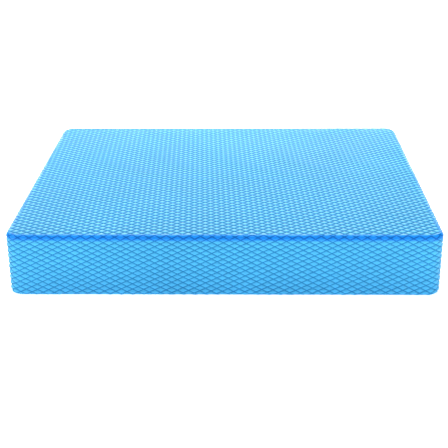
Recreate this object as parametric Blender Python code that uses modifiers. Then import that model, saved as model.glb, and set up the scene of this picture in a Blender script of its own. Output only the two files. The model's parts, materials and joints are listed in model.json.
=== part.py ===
"""A balance pad: laminated foam sheets inside an embossed, pressed-on skin.

Units are metres and +Z is up. The origin is the middle of the underside, +X runs along
the long side and -Y faces the front.
"""

import bmesh
import bpy
from mathutils import Matrix

# Overall size
PAD_WIDTH = 0.400  # along X
PAD_DEPTH = 0.330  # along Y
PAD_HEIGHT = 0.060  # along Z

# Rounding of the outer surface
UPRIGHT_RADIUS = 0.013  # the four upright corners
TOP_RADIUS = 0.004  # the edge between the top and the sides
BASE_RADIUS = 0.0035  # the edge between the sides and the underside
SHOULDER_WIDTH = 0.014  # strip along the top's rim that falls towards the sides
SHOULDER_DROP = 0.0005  # how far that strip falls

# Layers
SKIN_THICKNESS = 0.002
BOND_GAP = 0.0003  # between neighbouring pieces, where the real foam is fused
BASE_SKIN_HEIGHT = 0.0045  # how far the base skin turns up the sides
CORE_SHEETS = 6

# Facets of the round edges
UPRIGHT_SEGMENTS = 10
RIM_SEGMENTS = 5

# Sizes that follow from the ones above
CORE_INSET = SKIN_THICKNESS + BOND_GAP
CORE_HEIGHT = PAD_HEIGHT - 2 * CORE_INSET
SHEET_HEIGHT = (CORE_HEIGHT - (CORE_SHEETS - 1) * BOND_GAP) / CORE_SHEETS

# Colours, as linear red, green and blue, and how rough each surface is
SKIN_COLOUR = (0.10, 0.43, 0.87)
SKIN_ROUGHNESS = 0.55
CORE_COLOUR = (0.16, 0.50, 0.90)
CORE_ROUGHNESS = 0.85

UP = 1
DOWN = -1


def clear_scene():
    """Remove every object that the scene starts with."""
    for old in list(bpy.data.objects):
        bpy.data.objects.remove(old, do_unlink=True)


def make_collection(name):
    """A collection for the pad's pieces, linked to the scene."""
    collection = bpy.data.collections.new(name)
    bpy.context.scene.collection.children.link(collection)
    return collection


def make_material(name, colour, roughness):
    """A plain material with no metal in it."""
    material = bpy.data.materials.new(name)
    material.use_nodes = True
    shader = material.node_tree.nodes["Principled BSDF"]
    shader.inputs["Base Color"].default_value = (*colour, 1.0)
    shader.inputs["Roughness"].default_value = roughness
    shader.inputs["Metallic"].default_value = 0.0
    return material


def skin_material():
    """Dense, satin skin."""
    return make_material("embossed_skin", SKIN_COLOUR, SKIN_ROUGHNESS)


def core_material():
    """Matte closed-cell foam."""
    return make_material("core_foam", CORE_COLOUR, CORE_ROUGHNESS)


def is_upright(edge):
    """Whether an edge runs straight up."""
    low, high = edge.verts
    return abs(low.co.x - high.co.x) + abs(low.co.y - high.co.y) < BOND_GAP


def block_mesh(inset, height):
    """A block with round upright corners, its middle at the origin.

    inset is how far its sides lie inside the pad's own sides.
    """
    size = (PAD_WIDTH - 2 * inset, PAD_DEPTH - 2 * inset, height)
    block = bmesh.new()
    bmesh.ops.create_cube(block, size=1.0, matrix=Matrix.Diagonal((*size, 1.0)))
    bmesh.ops.bevel(
        block,
        geom=[edge for edge in block.edges if is_upright(edge)],
        offset=UPRIGHT_RADIUS - inset,
        segments=UPRIGHT_SEGMENTS,
        profile=0.5,
        affect="EDGES",
    )
    return block


def end_face(block, side):
    """The block's flat top (UP) or underside (DOWN)."""
    return max(block.faces, key=lambda face: side * face.calc_center_median().z)


def lower_shoulder(block, inset):
    """Let the top's rim fall a little, as pressed foam does next to its edge."""
    top = end_face(block, UP)
    shoulder = bmesh.ops.inset_region(
        block,
        faces=[top],
        thickness=SHOULDER_WIDTH - inset,
        use_boundary=True,
        use_even_offset=True,
    )
    corners = {corner for face in shoulder["faces"] for corner in face.verts}
    for corner in corners - set(top.verts):
        corner.co.z -= SHOULDER_DROP


def rim_edges(block, side):
    """The edges all round the sides' upper end (UP) or lower end (DOWN)."""
    walls = [face for face in block.faces if abs(face.normal.z) < 0.5]
    level = max(side * corner.co.z for face in walls for corner in face.verts)
    edges = {edge for face in walls for edge in face.edges}
    return [
        edge
        for edge in edges
        if all(abs(side * corner.co.z - level) < BOND_GAP for corner in edge.verts)
    ]


def round_rim(block, side, radius):
    """Round the edge between the sides and one end."""
    block.normal_update()
    bmesh.ops.bevel(
        block,
        geom=sorted(rim_edges(block, side), key=lambda edge: edge.index),
        offset=radius,
        segments=RIM_SEGMENTS,
        profile=0.5,
        affect="EDGES",
    )


def add_piece(name, block, low, material, collection):
    """Make the block an object whose lowest point is at height low."""
    lowest = min(corner.co.z for corner in block.verts)
    mesh = bpy.data.meshes.new(name)
    block.to_mesh(mesh)
    block.free()
    piece = bpy.data.objects.new(name, mesh)
    piece.location.z = low - lowest
    mesh.materials.append(material)
    mesh.shade_smooth()
    mesh.set_sharp_from_angle(angle=0.6)
    collection.objects.link(piece)
    return piece


def thicken_inwards(piece):
    """Give an open surface the skin's thickness, on its inner side."""
    solidify = piece.modifiers.new("skin_thickness", "SOLIDIFY")
    solidify.thickness = SKIN_THICKNESS
    solidify.offset = -1.0
    solidify.use_even_offset = True


def add_upper_skin(material, collection):
    """The embossed skin over the top and down the sides."""
    low = BASE_SKIN_HEIGHT + BOND_GAP
    block = block_mesh(0.0, PAD_HEIGHT - low)
    lower_shoulder(block, 0.0)
    round_rim(block, UP, TOP_RADIUS)
    bmesh.ops.delete(block, geom=[end_face(block, DOWN)], context="FACES_ONLY")
    piece = add_piece("upper_skin", block, low, material, collection)
    thicken_inwards(piece)


def add_base_skin(material, collection):
    """The embossed skin under the pad, a tray that turns a little way up the sides."""
    block = block_mesh(0.0, BASE_SKIN_HEIGHT)
    round_rim(block, DOWN, BASE_RADIUS)
    bmesh.ops.delete(block, geom=[end_face(block, UP)], context="FACES_ONLY")
    piece = add_piece("base_skin", block, 0.0, material, collection)
    thicken_inwards(piece)


def add_core_sheets(material, collection):
    """The foam sheets, laminated into one block that fills the skin."""
    for number in range(CORE_SHEETS):
        block = block_mesh(CORE_INSET, SHEET_HEIGHT)
        if number == 0:
            round_rim(block, DOWN, BASE_RADIUS - CORE_INSET)
        if number == CORE_SHEETS - 1:
            lower_shoulder(block, CORE_INSET)
            round_rim(block, UP, TOP_RADIUS - CORE_INSET)
        low = CORE_INSET + number * (SHEET_HEIGHT + BOND_GAP)
        add_piece(f"core_sheet_{number + 1}", block, low, material, collection)


def build():
    """Make the whole pad."""
    clear_scene()
    collection = make_collection("balance_pad")
    skin = skin_material()
    add_upper_skin(skin, collection)
    add_base_skin(skin, collection)
    add_core_sheets(core_material(), collection)


build()
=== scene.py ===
"""The looks of the balance pad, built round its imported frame.

Every size is in metres, in the frame's own axes: +X along the pad's long side, -Y towards
the front, +Z up, and the origin in the middle of the underside.
"""

import json
import math

import bmesh
import bpy
import numpy as np
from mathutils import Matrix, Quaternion, Vector

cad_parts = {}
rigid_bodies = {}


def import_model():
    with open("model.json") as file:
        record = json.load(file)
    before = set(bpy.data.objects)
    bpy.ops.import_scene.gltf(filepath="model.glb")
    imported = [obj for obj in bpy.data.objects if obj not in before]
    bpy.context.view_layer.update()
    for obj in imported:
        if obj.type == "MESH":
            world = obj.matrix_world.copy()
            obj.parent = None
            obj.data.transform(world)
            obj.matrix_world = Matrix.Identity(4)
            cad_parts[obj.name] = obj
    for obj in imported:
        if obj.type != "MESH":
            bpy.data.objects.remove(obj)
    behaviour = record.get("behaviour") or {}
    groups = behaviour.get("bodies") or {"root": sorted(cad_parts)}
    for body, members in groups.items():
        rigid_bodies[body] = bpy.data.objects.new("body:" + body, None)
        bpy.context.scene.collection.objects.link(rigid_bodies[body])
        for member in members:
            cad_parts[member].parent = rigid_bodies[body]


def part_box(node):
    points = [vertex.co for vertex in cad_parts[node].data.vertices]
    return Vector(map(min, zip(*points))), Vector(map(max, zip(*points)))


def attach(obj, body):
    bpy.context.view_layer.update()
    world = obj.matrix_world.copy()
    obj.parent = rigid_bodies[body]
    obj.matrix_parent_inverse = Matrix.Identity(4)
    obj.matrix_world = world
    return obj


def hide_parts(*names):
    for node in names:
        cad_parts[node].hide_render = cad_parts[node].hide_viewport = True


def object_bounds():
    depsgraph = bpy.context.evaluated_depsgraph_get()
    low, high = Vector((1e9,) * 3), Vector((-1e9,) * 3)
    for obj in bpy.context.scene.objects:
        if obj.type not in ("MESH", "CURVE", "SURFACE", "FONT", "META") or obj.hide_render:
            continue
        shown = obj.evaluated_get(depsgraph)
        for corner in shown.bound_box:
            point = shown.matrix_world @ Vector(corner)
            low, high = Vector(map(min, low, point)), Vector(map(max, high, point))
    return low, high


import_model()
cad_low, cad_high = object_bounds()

QUARTER = math.pi / 2  # a quarter turn

# The pad's shape, which follows the frame
WIDTH = cad_high.x - cad_low.x
DEPTH = cad_high.y - cad_low.y
SWELL = 0.001  # the soft top stands a little higher than the plain block
HEIGHT = cad_high.z - cad_low.z + SWELL
UPRIGHT_RADIUS = 0.013
SHOULDER_LENGTH = 0.014  # strip next to the top's rim that falls away gently
SHOULDER_TILT = math.radians(3)  # how steeply it falls where it meets the rim
CREASE_LENGTH = 0.0008  # the sharper bend between the shoulder and the rim
CREASE_TILT = math.radians(30)
RIM_LENGTH = 0.0048
BASE_RADIUS = 0.0035
PERIMETER = 2 * (WIDTH + DEPTH - 4 * UPRIGHT_RADIUS) + 2 * math.pi * UPRIGHT_RADIUS
PARTING_HEIGHT = (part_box("base_skin")[1].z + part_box("upper_skin")[0].z) / 2
SKIN_THICKNESS = 0.0019
LID_INSET = UPRIGHT_RADIUS - 0.001  # the top skin's inner surface is one flat face from here inwards
CORE_SHEETS = 6

# The emboss. A diamond's long diagonal is row_step and its short one is column_step.
GROOVE_DEPTH = 0.0012
# From a groove's middle towards the middle of a diamond: how far, and how deep it is there
TOP_DIAMOND = (
    (0.0, GROOVE_DEPTH),
    (0.0009, 0.47 * GROOVE_DEPTH),
    (0.0019, 0.2 * GROOVE_DEPTH),
)
SIDE_DIAMOND = (
    (0.0, 0.75 * GROOVE_DEPTH),
    (0.0007, 0.22 * GROOVE_DEPTH),
    (0.0014, 0.07 * GROOVE_DEPTH),
)
EMBOSS_RISE = 0.0004  # how far the diamonds stand out from the plain shape
SIDE_SHADE = 0.88  # how dark the sides' painted groove shade is, against the top's
RIM_REACH = (-0.0016, -0.0004, 0.0048, 0.0068)  # the rim band, with flatter emboss and painted shade, from where the patterns meet
RIM_SHARES = (0.0, 1.0, 1.0, 0.0)
RIM_CALM = 0.5  # how much of the emboss the rim band loses
JOIN_DROP = 0.0003  # how deep the emboss is where two faces' patterns meet
TOP_ROW_STEP = (0.01051, 0.00052)
TOP_COLUMN_STEP = (-0.00028, 0.00698)
TOP_ORIGIN = (-0.0018, -0.0015)  # the middle of one diamond
SIDE_HALF_STEPS = 277  # half diamonds in one turn round the pad
SIDE_CLIMB = 13  # half rows that a row climbs in that turn
SIDE_COLUMN_STEP = (0.00015, 0.00544)
SIDE_ORIGIN = (0.0005, 0.0017)

# How finely the meshes are made
SECTION_STEPS = 2000  # samples along the section of the rim
TOP_SAMPLES = SECTION_STEPS // 4  # those that cover the top and its rim
CORNER_CUTS = 8
LATTICE_ROOM = 1.3  # the top's lattice is laid out wider than the pad, because its rows slant
WELD_DISTANCE = 0.00002
CUT_TOLERANCE = 1e-7
LINE_TOLERANCE = 1e-6  # a point this near a line is on it
TINY = 1e-9  # a distance to take as none

# The skin's looks
CROWN_COLOUR = (0.046, 0.35, 0.67, 1)
# painted shade: the grooves' deeper blue stands in for the shade that falls in them
GROOVE_SHADE_COLOUR = (0.005, 0.12, 0.34, 1)
GROOVE_START = 0.1  # shares of the groove's depth between which its painted shade comes in
GROOVE_FULL = 0.75
# painted shade: the rim band's darker, deeper blue stands in for the shade on the rounded rim
RIM_SHADE_TINT = (0.2, 0.64, 1.15, 1)
SKIN_SPECULAR = 0.15
CROWN_ROUGHNESS = 0.35
GROOVE_ROUGHNESS = 0.9
SKIN_TONES = (0.95, 1.05)  # how much darker and lighter the broad tones and the mottle get
WEAR = (0.9, 1.1)  # how much the roughness varies
PORE_STRENGTH = 0.3
PORE_DEPTH = 0.00008

# The cut foam's looks
FOAM_COLOUR = (0.06, 0.42, 0.76, 1)
FOAM_PIT_SHADE_COLOUR = (0.02, 0.2, 0.46, 1)
FOAM_SPECULAR = 0.1
FOAM_ROUGHNESS = 0.9
FOAM_TONES = (0.92, 1.08)
PIT_REACH = 0.6  # how far out of its middle a cell's painted pit shade fades
CELL_STRENGTH = 0.6
CELL_DEPTH = 0.0003

# Noise scales, in features per metre
BROAD_TONE_SCALE = 12.0
MOTTLE_SCALE = 260.0
PORE_SCALE = 2600.0
CELL_SCALE = 1300.0
NOISE_LOW = 0.25  # nearly all of a noise's values lie between these two
NOISE_HIGH = 0.75

# A Mix node's sockets, when it mixes colours
MIX_SHARE = 0
MIX_FIRST = 6
MIX_SECOND = 7
MIX_RESULT = 2

# The camera, floor and backdrop
LENS = 77.6  # millimetres, as is the sensor
SENSOR_WIDTH = 36.0
CAMERA_PLACE = (0.01701, -0.96316, 0.40823)
CAMERA_PITCH = math.radians(22.81)  # how far it looks down
CAMERA_YAW = math.radians(-1.193)
CAMERA_ROLL = math.radians(-0.421)
NEAR_CLIP = 0.05
FAR_CLIP = 50.0
FLOOR_SIZE = 40.0
FLOOR_COLOUR = (0.6, 0.6, 0.6, 1)
FLOOR_ROUGHNESS = 0.9
FLOOR_GLOW = 0.97
WHITE = (1, 1, 1, 1)
WARM_WHITE = (1, 1, 0.82)
WORLD_LIGHT = 0.02  # how bright the backdrop is for everything but the camera
PAD_MIDDLE = (0, 0, 0.03)


def smooth_section():
    """The section across the pad's edge, from the top's flat part to the underside's.

    Returns distance along it, inset from the side, height, and tilt, which is 0 where the
    surface faces up, a quarter turn where it faces sideways and half a turn where it faces down.
    """
    tilts = [0.0, SHOULDER_TILT, CREASE_TILT, QUARTER, QUARTER, 2 * QUARTER]
    runs = [SHOULDER_LENGTH, CREASE_LENGTH, RIM_LENGTH, 0.0, BASE_RADIUS * QUARTER]
    bends = [drop_of(*bend) for bend in zip(runs, tilts, tilts[1:])]
    runs[3] = HEIGHT - sum(bends)  # the straight side takes what the bends leave
    lengths = np.concatenate([[0.0], np.cumsum(runs)])
    along = np.linspace(0.0, lengths[-1], SECTION_STEPS)
    tilt = np.interp(along, lengths, tilts)
    step = along[1]
    outward = np.concatenate([[0.0], np.cumsum((np.cos(tilt[1:]) + np.cos(tilt[:-1])) / 2 * step)])
    down = np.concatenate([[0.0], np.cumsum((np.sin(tilt[1:]) + np.sin(tilt[:-1])) / 2 * step)])
    return along, outward.max() - outward, HEIGHT - down * HEIGHT / down[-1], tilt


def drop_of(length, tilt, next_tilt):
    """How far an even bend goes down."""
    if tilt == next_tilt:
        return length * math.sin(tilt)
    return length * (math.cos(tilt) - math.cos(next_tilt)) / (next_tilt - tilt)


ALONG, INSET, LEVEL, TILT = smooth_section()
TOP_EDGE = INSET[0]  # inset where the top starts to fall
# Distances along the section, and what happens there
RIM_LINE = np.interp(CREASE_TILT, TILT, ALONG) - CREASE_LENGTH / 2  # the top's pattern meets the sides'
FOOT_LINE = np.interp(1.5 * QUARTER, TILT, ALONG)  # the sides' pattern meets the underside's
PARTING_LINE = np.interp(-PARTING_HEIGHT, -LEVEL, ALONG)  # the upper skin meets the base skin
SIDE_START = ALONG[np.searchsorted(TILT, QUARTER)]  # the sides turn upright
SIDE_END = ALONG[np.searchsorted(TILT, QUARTER, side="right") - 1]  # they start to turn under
LID_LINE = np.interp(-LID_INSET, -INSET[:TOP_SAMPLES], ALONG[:TOP_SAMPLES])  # LID_INSET is reached


def round_outline(distance):
    """Follow the pad's outline, counter-clockwise from the left end of its straight front.

    Returns the corner-centre rectangle's point and the outward direction.
    """
    long_run = WIDTH - 2 * UPRIGHT_RADIUS
    short_run = DEPTH - 2 * UPRIGHT_RADIUS
    arc = UPRIGHT_RADIUS * QUARTER
    ends = np.cumsum([0, long_run, arc, short_run, arc, long_run, arc, short_run, arc])
    x, y = long_run / 2, short_run / 2
    corner_x = [-x, x, x, x, x, -x, -x, -x, -x]
    corner_y = [-y, -y, -y, y, y, y, y, -y, -y]
    turns = np.array([0, 0, 1, 1, 2, 2, 3, 3, 4]) * QUARTER - QUARTER
    wrapped = np.mod(distance, ends[-1])
    centre = np.stack([np.interp(wrapped, ends, corner_x), np.interp(wrapped, ends, corner_y)], -1)
    angle = np.interp(wrapped, ends, turns)
    return centre, np.stack([np.cos(angle), np.sin(angle)], -1)


def diamond_rings(row_step, column_step, section):
    """Points of one diamond about its centre, ring by ring, from its groove to its middle.

    Each point is (share of half a row step, share of half a column step, height).
    """
    area = abs(row_step[0] * column_step[1] - row_step[1] * column_step[0]) / 2
    side = math.hypot(row_step[0] + column_step[0], row_step[1] + column_step[1]) / 2
    half_spacing = area / side / 2
    rings = [(1 - reach / half_spacing, -depth) for reach, depth in section]
    corners = [(1, 0), (0.5, 0.5), (0, 1), (-0.5, 0.5), (-1, 0), (-0.5, -0.5), (0, -1), (0.5, -0.5)]
    points = [(size * a, size * b, height) for size, height in rings for a, b in corners]
    return np.array(points + [(0, 0, 0)]), len(rings), len(corners)


def diamond_sheet(row_step, column_step, section, centres):
    """A flat sheet of raised diamonds at the centres. Its z is the height, 0 at their middles."""
    ring_points, rings, corners = diamond_rings(row_step, column_step, section)
    row, column = np.array(row_step) / 2, np.array(column_step) / 2
    flat = ring_points[:, :1] * row + ring_points[:, 1:2] * column
    points = np.zeros((len(centres), len(ring_points), 3))
    points[:, :, :2] = centres[:, None, :] + flat[None]
    points[:, :, 2] = ring_points[:, 2]
    faces = []
    for ring in range(rings):
        for corner in range(corners):
            here = ring * corners + corner
            after = ring * corners + (corner + 1) % corners
            if ring < rings - 1:
                faces.append([here, after, after + corners, here + corners])
            else:
                faces.append([here, after, rings * corners])
    starts = np.arange(len(centres)) * len(ring_points)
    all_faces = [[start + index for index in face] for start in starts.tolist() for face in faces]
    mesh = bpy.data.meshes.new("sheet")
    mesh.from_pydata(points.reshape(-1, 3).tolist(), [], all_faces)
    sheet = bmesh.new()
    sheet.from_mesh(mesh)
    bpy.data.meshes.remove(mesh)
    return sheet


def weld(sheet):
    """Join the points that neighbouring diamonds share."""
    bmesh.ops.remove_doubles(sheet, verts=sheet.verts, dist=WELD_DISTANCE)


def cut(sheet, point, outward):
    """Cut away what lies outside an upright plane."""
    everything = sheet.verts[:] + sheet.edges[:] + sheet.faces[:]
    bmesh.ops.bisect_plane(
        sheet,
        geom=everything,
        dist=CUT_TOLERANCE,
        plane_co=point,
        plane_no=outward,
        clear_outer=True,
    )


def positions(sheet):
    """The sheet's points, as an array."""
    return np.array([vert.co for vert in sheet.verts])


def place(sheet, points, outward, heights, along, shade=1.0):
    """Move the sheet's points to their places on the block's surface, raised by the emboss.

    It also notes how deep in a groove each point is, and how near the rim band; the skin paints shade
    by both.
    """
    groove = sheet.verts.layers.float.new("groove")
    rim = sheet.verts.layers.float.new("rim")
    tilt = np.interp(along, ALONG, TILT)
    nearness = np.interp(along - RIM_LINE, RIM_REACH, RIM_SHARES)
    lift = heights * (1 - RIM_CALM * nearness) + rise_at(tilt)
    normals = np.concatenate([outward * np.sin(tilt)[:, None], np.cos(tilt)[:, None]], 1)
    spots = points + normals * lift[:, None]
    for vert, spot, height, share in zip(sheet.verts, spots, heights, nearness):
        vert.co = spot
        vert[groove] = -height / GROOVE_DEPTH * shade
        vert[rim] = share


def rise_at(tilt):
    """How far the diamonds stand out: nothing on the underside, which stays on the floor."""
    return EMBOSS_RISE * np.clip(2 - tilt / QUARTER, 0, 1)


def plan_distance(xy):
    """Distance inside the pad's outline, and the direction straight out to it."""
    half = np.array([WIDTH, DEPTH]) / 2 - UPRIGHT_RADIUS
    past = np.abs(xy) - half
    outside = np.maximum(past, 0)
    reach = np.hypot(outside[:, 0], outside[:, 1])
    inside = np.minimum(past.max(1), 0)
    axis = np.where(past[:, :1] > past[:, 1:], [[1.0, 0.0]], [[0.0, 1.0]])
    safe = np.maximum(reach, TINY)[:, None]
    direction = np.where(reach[:, None] > TINY, outside / safe, axis) * np.where(xy < 0, -1, 1)
    return UPRIGHT_RADIUS - reach - inside, direction


def face_sheet(margin):
    """The sheet for the top or underside, cut margin inside the pad's outline."""
    half_x, half_y = WIDTH / 2 - margin, DEPTH / 2 - margin
    row, column = np.array(TOP_ROW_STEP), np.array(TOP_COLUMN_STEP)
    reach = int(LATTICE_ROOM * WIDTH / np.linalg.norm(row))
    lift = int(LATTICE_ROOM * DEPTH / np.linalg.norm(column))
    centres = np.array([
        i * row / 2 + j * column / 2
        for i in range(-reach, reach + 1)
        for j in range(-lift, lift + 1)
        if (i + j) % 2 == 0
    ]) + np.array(TOP_ORIGIN)
    room = np.abs(row) + np.abs(column)
    near = (np.abs(centres) < np.array([half_x, half_y]) + room).all(1)
    sheet = diamond_sheet(row, column, TOP_DIAMOND, centres[near])
    weld(sheet)
    for side in (1, -1):
        cut(sheet, (side * half_x, 0, 0), (side, 0, 0))
        cut(sheet, (0, side * half_y, 0), (0, side, 0))
    radius = UPRIGHT_RADIUS - margin
    for quarter in range(4):
        for step in range(1, CORNER_CUTS):
            angle = (quarter + step / CORNER_CUTS) * QUARTER
            outward = Vector((math.cos(angle), math.sin(angle), 0))
            side_x = math.copysign(half_x - radius, outward.x)
            side_y = math.copysign(half_y - radius, outward.y)
            cut(sheet, Vector((side_x, side_y, 0)) + outward * radius, outward)
    return sheet


def wrap_face(sheet, margin, flat_inset, start, sign, level):
    """Bend the sheet's border over the pad's edge.

    flat_inset is where it leaves the level face, start is that place's distance along the
    section, and sign is 1 for the top and -1 for the underside.
    """
    flat = positions(sheet)
    true_inside, outward = plan_distance(flat[:, :2])
    border = [vert.is_boundary for vert in sheet.verts]
    inside = np.where(border, margin, true_inside)
    heights = np.where(border, -JOIN_DROP, flat[:, 2])
    along = start + sign * np.maximum(flat_inset - inside, 0)
    inset = np.where(inside > flat_inset, inside, np.interp(along, ALONG, INSET))
    xy = flat[:, :2] + outward * (true_inside - inset)[:, None]
    z = np.where(inside > flat_inset, level, np.interp(along, ALONG, LEVEL))
    place(sheet, np.concatenate([xy, z[:, None]], 1), outward, heights, along)
    if sign < 0:
        bmesh.ops.reverse_faces(sheet, faces=sheet.faces[:])


def top_sheet():
    """The embossed top, down to the crease above its rounded rim."""
    margin = TOP_EDGE - RIM_LINE
    sheet = face_sheet(margin)
    wrap_face(sheet, margin, TOP_EDGE, 0.0, 1, HEIGHT)
    return sheet


def underside_sheet():
    """The embossed underside, up to the middle of its rounded edge."""
    margin = BASE_RADIUS - (ALONG[-1] - FOOT_LINE)
    sheet = face_sheet(margin)
    wrap_face(sheet, margin, BASE_RADIUS, ALONG[-1], -1, 0.0)
    return sheet


def side_sheet(start, end):
    """The embossed sides between two distances along the section."""
    column = np.array(SIDE_COLUMN_STEP)
    turn = np.array([2 * PERIMETER, 0.0])
    row = (turn - SIDE_CLIMB * column) / SIDE_HALF_STEPS
    rows = int(ALONG[-1] / column[1]) + 3  # with a few to spare
    centres = []
    for i in range(SIDE_HALF_STEPS * 2):
        for j in range(-2 * rows, 2 * rows + SIDE_CLIMB * 2):
            if (i + j) % 2 == 0:
                centres.append(i * row / 2 + j * column / 2)
    centres = np.array(centres) + np.array(SIDE_ORIGIN)
    keep = (centres[:, 0] >= 0) & (centres[:, 0] < PERIMETER)
    keep &= (centres[:, 1] < -start + column[1]) & (centres[:, 1] > -end - column[1])
    sheet = diamond_sheet(row, column, SIDE_DIAMOND, centres[keep])
    cut(sheet, (0, -start, 0), (0, 1, 0))
    cut(sheet, (0, -end, 0), (0, -1, 0))
    flat = positions(sheet)
    along = -flat[:, 1]
    heights = flat[:, 2]
    for line in (RIM_LINE, FOOT_LINE):
        heights = np.where(np.abs(along - line) < LINE_TOLERANCE, -JOIN_DROP, heights)
    centre, outward = round_outline(flat[:, 0])
    radius = UPRIGHT_RADIUS - np.interp(along, ALONG, INSET)
    z = np.interp(along, ALONG, LEVEL)
    points = np.concatenate([centre + outward * radius[:, None], z[:, None]], 1)
    place(sheet, points, outward, heights, along, SIDE_SHADE)
    weld(sheet)
    return sheet


def add_ring(sheet, edges, along):
    """Extrude the edges to a ring on the skin's inner surface, and return the ring's edges."""
    made = bmesh.ops.extrude_edge_only(sheet, edges=edges)["geom"]
    verts = [item for item in made if isinstance(item, bmesh.types.BMVert)]
    plan = np.array([vert.co.xy for vert in verts])
    inside, outward = plan_distance(plan)
    tilt = np.interp(along, ALONG, TILT)
    inset = np.interp(along, ALONG, INSET) + SKIN_THICKNESS * math.sin(tilt)
    level = np.interp(along, ALONG, LEVEL) - SKIN_THICKNESS * math.cos(tilt)
    plan += outward * (inside - inset)[:, None]
    for vert, (x, y) in zip(verts, plan):
        vert.co = (x, y, level)
    return [item for item in made if isinstance(item, bmesh.types.BMEdge)]


def open_edges(sheet):
    """The sheet's open edges, kept sharp so that the skin stays smooth up to them."""
    edges = [edge for edge in sheet.edges if edge.is_boundary]
    for edge in edges:
        edge.smooth = False
    return edges


def close_face(sheet, rings):
    """Give the top or underside its thickness."""
    edges = open_edges(sheet)
    for along in rings:
        edges = add_ring(sheet, edges, along)
    bmesh.ops.edgeloop_fill(sheet, edges=edges)


def close_band(sheet, rings):
    """Give the sides their thickness, on rings from the upper edge to the lower one."""
    edges = open_edges(sheet)
    heights = [edge.verts[0].co.z for edge in edges]
    middle = (max(heights) + min(heights)) / 2
    upper = [edge for edge, height in zip(edges, heights) if height > middle]
    lower = [edge for edge, height in zip(edges, heights) if height <= middle]
    for along in rings[:-1]:
        upper = add_ring(sheet, upper, along)
    lower = add_ring(sheet, lower, rings[-1])
    bmesh.ops.bridge_loops(sheet, edges=upper + lower)


def finish_piece(name, sheet, material, close, rings):
    """Close the sheet into a skin of its real thickness, and make it an object."""
    skin_faces = set(sheet.faces)
    close(sheet, rings)
    for face in sheet.faces:
        face.smooth = face in skin_faces
    bmesh.ops.recalc_face_normals(sheet, faces=sheet.faces[:])
    mesh = bpy.data.meshes.new(name)
    sheet.to_mesh(mesh)
    sheet.free()
    mesh.materials.append(material)
    piece = bpy.data.objects.new(name, mesh)
    bpy.context.scene.collection.objects.link(piece)
    return piece


def add_range(tree, value, start, end, low=0.0, high=1.0, curve="LINEAR"):
    """Turn a value between start and end into one between low and high."""
    level = tree.nodes.new("ShaderNodeMapRange")
    level.interpolation_type = curve
    level.inputs["From Min"].default_value = start
    level.inputs["From Max"].default_value = end
    level.inputs["To Min"].default_value = low
    level.inputs["To Max"].default_value = high
    tree.links.new(value, level.inputs["Value"])
    return level.outputs["Result"]


def add_noise(tree, scale, detail, low, high):
    """Noise over the object, as values from low to high."""
    where = tree.nodes.new("ShaderNodeTexCoord")
    noise = tree.nodes.new("ShaderNodeTexNoise")
    noise.inputs["Scale"].default_value = scale
    noise.inputs["Detail"].default_value = detail
    tree.links.new(where.outputs["Object"], noise.inputs["Vector"])
    return add_range(tree, noise.outputs["Fac"], NOISE_LOW, NOISE_HIGH, low, high)


def add_product(tree, first, second):
    """One value times another."""
    product = tree.nodes.new("ShaderNodeMath")
    product.operation = "MULTIPLY"
    tree.links.new(first, product.inputs[0])
    tree.links.new(second, product.inputs[1])
    return product.outputs[0]


def add_mix(tree, blend, share, second):
    """A Mix node that lays a second colour over a first one, by a share."""
    mix = tree.nodes.new("ShaderNodeMix")
    mix.data_type = "RGBA"
    mix.blend_type = blend
    mix.inputs[MIX_SECOND].default_value = second
    tree.links.new(share, mix.inputs[MIX_SHARE])
    return mix


def add_tone(tree, colour, value):
    """The colour, made darker or lighter by a value about 1."""
    tone = tree.nodes.new("ShaderNodeHueSaturation")
    tree.links.new(colour, tone.inputs["Color"])
    tree.links.new(value, tone.inputs["Value"])
    return tone.outputs["Color"]


def add_bump(tree, height, strength, distance):
    """A bumpy normal from a height."""
    bump = tree.nodes.new("ShaderNodeBump")
    bump.inputs["Strength"].default_value = strength
    bump.inputs["Distance"].default_value = distance
    tree.links.new(height, bump.inputs["Height"])
    return bump.outputs["Normal"]


def add_attribute(tree, name):
    """A value that the mesh carries."""
    attribute = tree.nodes.new("ShaderNodeAttribute")
    attribute.attribute_name = name
    return attribute.outputs["Fac"]


def new_material(name):
    """An empty material, its node tree and its shader."""
    material = bpy.data.materials.new(name)
    material.use_nodes = True
    return material, material.node_tree, material.node_tree.nodes["Principled BSDF"]


def skin_material():
    """Closed-cell skin: clear blue crowns, matte grooves with painted shade in deeper blue, and a rim
    band with darker painted shade.
    """
    material, tree, shader = new_material("embossed_skin")
    links = tree.links
    shader.inputs["Specular IOR Level"].default_value = SKIN_SPECULAR

    # painted shade in the grooves, deeper with their depth; the same share also makes them rougher
    deep = add_range(tree, add_attribute(tree, "groove"), GROOVE_START, GROOVE_FULL, curve="SMOOTHSTEP")
    colour = add_mix(tree, "MIX", deep, GROOVE_SHADE_COLOUR)
    colour.inputs[MIX_FIRST].default_value = CROWN_COLOUR
    # painted shade on the rim band
    rim_shade = add_mix(tree, "MULTIPLY", add_attribute(tree, "rim"), RIM_SHADE_TINT)
    links.new(colour.outputs[MIX_RESULT], rim_shade.inputs[MIX_FIRST])
    broad = add_noise(tree, BROAD_TONE_SCALE, 2, *SKIN_TONES)
    mottle = add_noise(tree, MOTTLE_SCALE, 4, *SKIN_TONES)
    tone = add_tone(tree, rim_shade.outputs[MIX_RESULT], add_product(tree, broad, mottle))
    links.new(tone, shader.inputs["Base Color"])

    gloss = add_range(tree, deep, 0, 1, CROWN_ROUGHNESS, GROOVE_ROUGHNESS)
    worn = add_noise(tree, MOTTLE_SCALE, 3, *WEAR)
    links.new(add_product(tree, gloss, worn), shader.inputs["Roughness"])
    pores = add_noise(tree, PORE_SCALE, 2, 0, 1)
    links.new(add_bump(tree, pores, PORE_STRENGTH, PORE_DEPTH), shader.inputs["Normal"])
    return material


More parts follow.
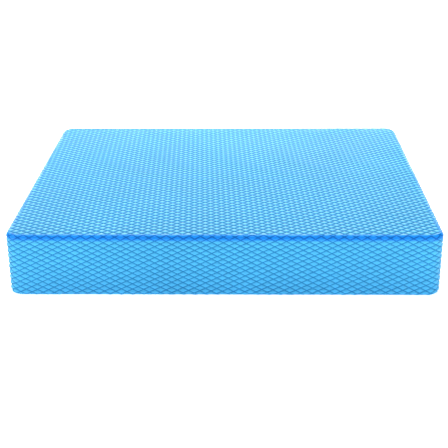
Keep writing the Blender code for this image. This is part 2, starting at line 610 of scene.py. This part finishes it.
def foam_material():
    """The cut foam of the core sheets: small cells in a lighter, dull blue, with painted shade in their
    pits.
    """
    material, tree, shader = new_material("cut_foam")
    shader.inputs["Roughness"].default_value = FOAM_ROUGHNESS
    shader.inputs["Specular IOR Level"].default_value = FOAM_SPECULAR
    where = tree.nodes.new("ShaderNodeTexCoord")
    cells = tree.nodes.new("ShaderNodeTexVoronoi")
    cells.inputs["Scale"].default_value = CELL_SCALE
    tree.links.new(where.outputs["Object"], cells.inputs["Vector"])
    colour = tree.nodes.new("ShaderNodeValToRGB")
    # painted shade in the middle of each cell's pit
    colour.color_ramp.elements[0].color = FOAM_PIT_SHADE_COLOUR
    colour.color_ramp.elements[1].color = FOAM_COLOUR
    colour.color_ramp.elements[1].position = PIT_REACH
    tree.links.new(cells.outputs["Distance"], colour.inputs["Fac"])
    mottle = add_noise(tree, MOTTLE_SCALE, 3, *FOAM_TONES)
    tree.links.new(add_tone(tree, colour.outputs["Color"], mottle), shader.inputs["Base Color"])
    normal = add_bump(tree, cells.outputs["Distance"], CELL_STRENGTH, CELL_DEPTH)
    tree.links.new(normal, shader.inputs["Normal"])
    return material


def add_camera():
    """A long lens, in front of the pad and above it."""
    data = bpy.data.cameras.new("camera")
    data.sensor_width = SENSOR_WIDTH
    data.lens = LENS
    data.clip_start = NEAR_CLIP
    data.clip_end = FAR_CLIP
    camera = bpy.data.objects.new("camera", data)
    camera.location = CAMERA_PLACE
    level = math.cos(CAMERA_PITCH)
    down = math.sin(CAMERA_PITCH)
    forward = Vector((math.sin(CAMERA_YAW) * level, math.cos(CAMERA_YAW) * level, -down))
    aim = forward.to_track_quat("-Z", "Y")
    camera.rotation_mode = "QUATERNION"
    camera.rotation_quaternion = Quaternion(forward, -CAMERA_ROLL) @ aim
    bpy.context.scene.collection.objects.link(camera)
    bpy.context.scene.camera = camera


def add_floor():
    """A plain white floor. Part of its brightness is its own."""
    bpy.ops.mesh.primitive_plane_add(size=FLOOR_SIZE, location=(0, 0, 0))
    floor = bpy.context.object
    floor.name = "floor"
    material, _, shader = new_material("floor")
    shader.inputs["Base Color"].default_value = FLOOR_COLOUR
    shader.inputs["Roughness"].default_value = FLOOR_ROUGHNESS
    shader.inputs["Emission Color"].default_value = WHITE
    shader.inputs["Emission Strength"].default_value = FLOOR_GLOW
    floor.data.materials.append(material)


def add_world():
    """A plain white backdrop that adds almost no light of its own."""
    world = bpy.data.worlds.new("studio")
    bpy.context.scene.world = world
    world.use_nodes = True
    tree = world.node_tree
    background = tree.nodes["Background"]
    background.inputs["Color"].default_value = WHITE
    rays = tree.nodes.new("ShaderNodeLightPath")
    strength = add_range(tree, rays.outputs["Is Camera Ray"], 0, 1, WORLD_LIGHT, 1.0)
    tree.links.new(strength, background.inputs["Strength"])


def add_softbox(name, size, position, target, power):
    """A flat light of a given size that faces its target. The camera doesn't see it."""
    data = bpy.data.lights.new(name, "AREA")
    data.shape = "RECTANGLE"
    data.size, data.size_y = size
    data.energy = power
    box = bpy.data.objects.new(name, data)
    box.location = position
    box.rotation_euler = (Vector(target) - Vector(position)).to_track_quat("-Z", "Y").to_euler()
    box.visible_camera = False
    bpy.context.scene.collection.objects.link(box)
    return box


def add_lights():
    """Soft light from above and behind, up from the floor, and low from both sides of the front."""
    add_softbox("top_light", size=(1.2, 0.8), position=(-0.1, 0.4, 1.4), target=PAD_MIDDLE, power=8)
    key = add_softbox(
        "back_light",
        size=(1.6, 0.6),
        position=(-0.15, 0.85, 1.7),
        target=PAD_MIDDLE,
        power=98,
    )
    key.data.color = WARM_WHITE
    # The strip gives the top its haze. It only shows in the gloss, so it doesn't light the back.
    haze = add_softbox(
        "back_strip",
        size=(1.2, 0.08),
        position=(0, 0.55, 0.19),
        target=(0, 0.1, 0.06),
        power=7.6,
    )
    haze.visible_diffuse = False
    add_softbox("floor_light", size=(3.0, 3.0), position=(0, 0, 0.0005), target=(0, 0, 1), power=4)
    for name, side, power in (("left_light", -1, 3.0), ("right_light", 1, 2.6)):
        add_softbox(
            name,
            size=(0.3, 0.2),
            position=(side * 0.45, -0.6, 0.02),
            target=(side * 0.15, -DEPTH / 2, 0.03),
            power=power,
        )


skin = skin_material()
foam = foam_material()
top = finish_piece("skin_top", top_sheet(), skin, close_face, (RIM_LINE, LID_LINE))
upper_band = side_sheet(RIM_LINE, PARTING_LINE)
sides = finish_piece("skin_sides", upper_band, skin, close_band, (RIM_LINE, SIDE_START, PARTING_LINE))
lower_band = side_sheet(PARTING_LINE, FOOT_LINE)
foot = finish_piece("skin_foot", lower_band, skin, close_band, (PARTING_LINE, SIDE_END, FOOT_LINE))
underside = finish_piece("skin_underside", underside_sheet(), skin, close_face, (FOOT_LINE, ALONG[-1]))
for sheet_number in range(1, CORE_SHEETS + 1):
    core = bpy.data.objects["core_sheet_%d" % sheet_number]
    for slot in core.material_slots:
        slot.material = foam
for piece in (top, sides):
    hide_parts("upper_skin")
for piece in (foot, underside):
    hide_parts("base_skin")
for piece in (top, sides, foot, underside):
    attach(piece, "root")

add_camera()
add_floor()
add_world()
add_lights()
bpy.context.scene.view_settings.view_transform = "Standard"
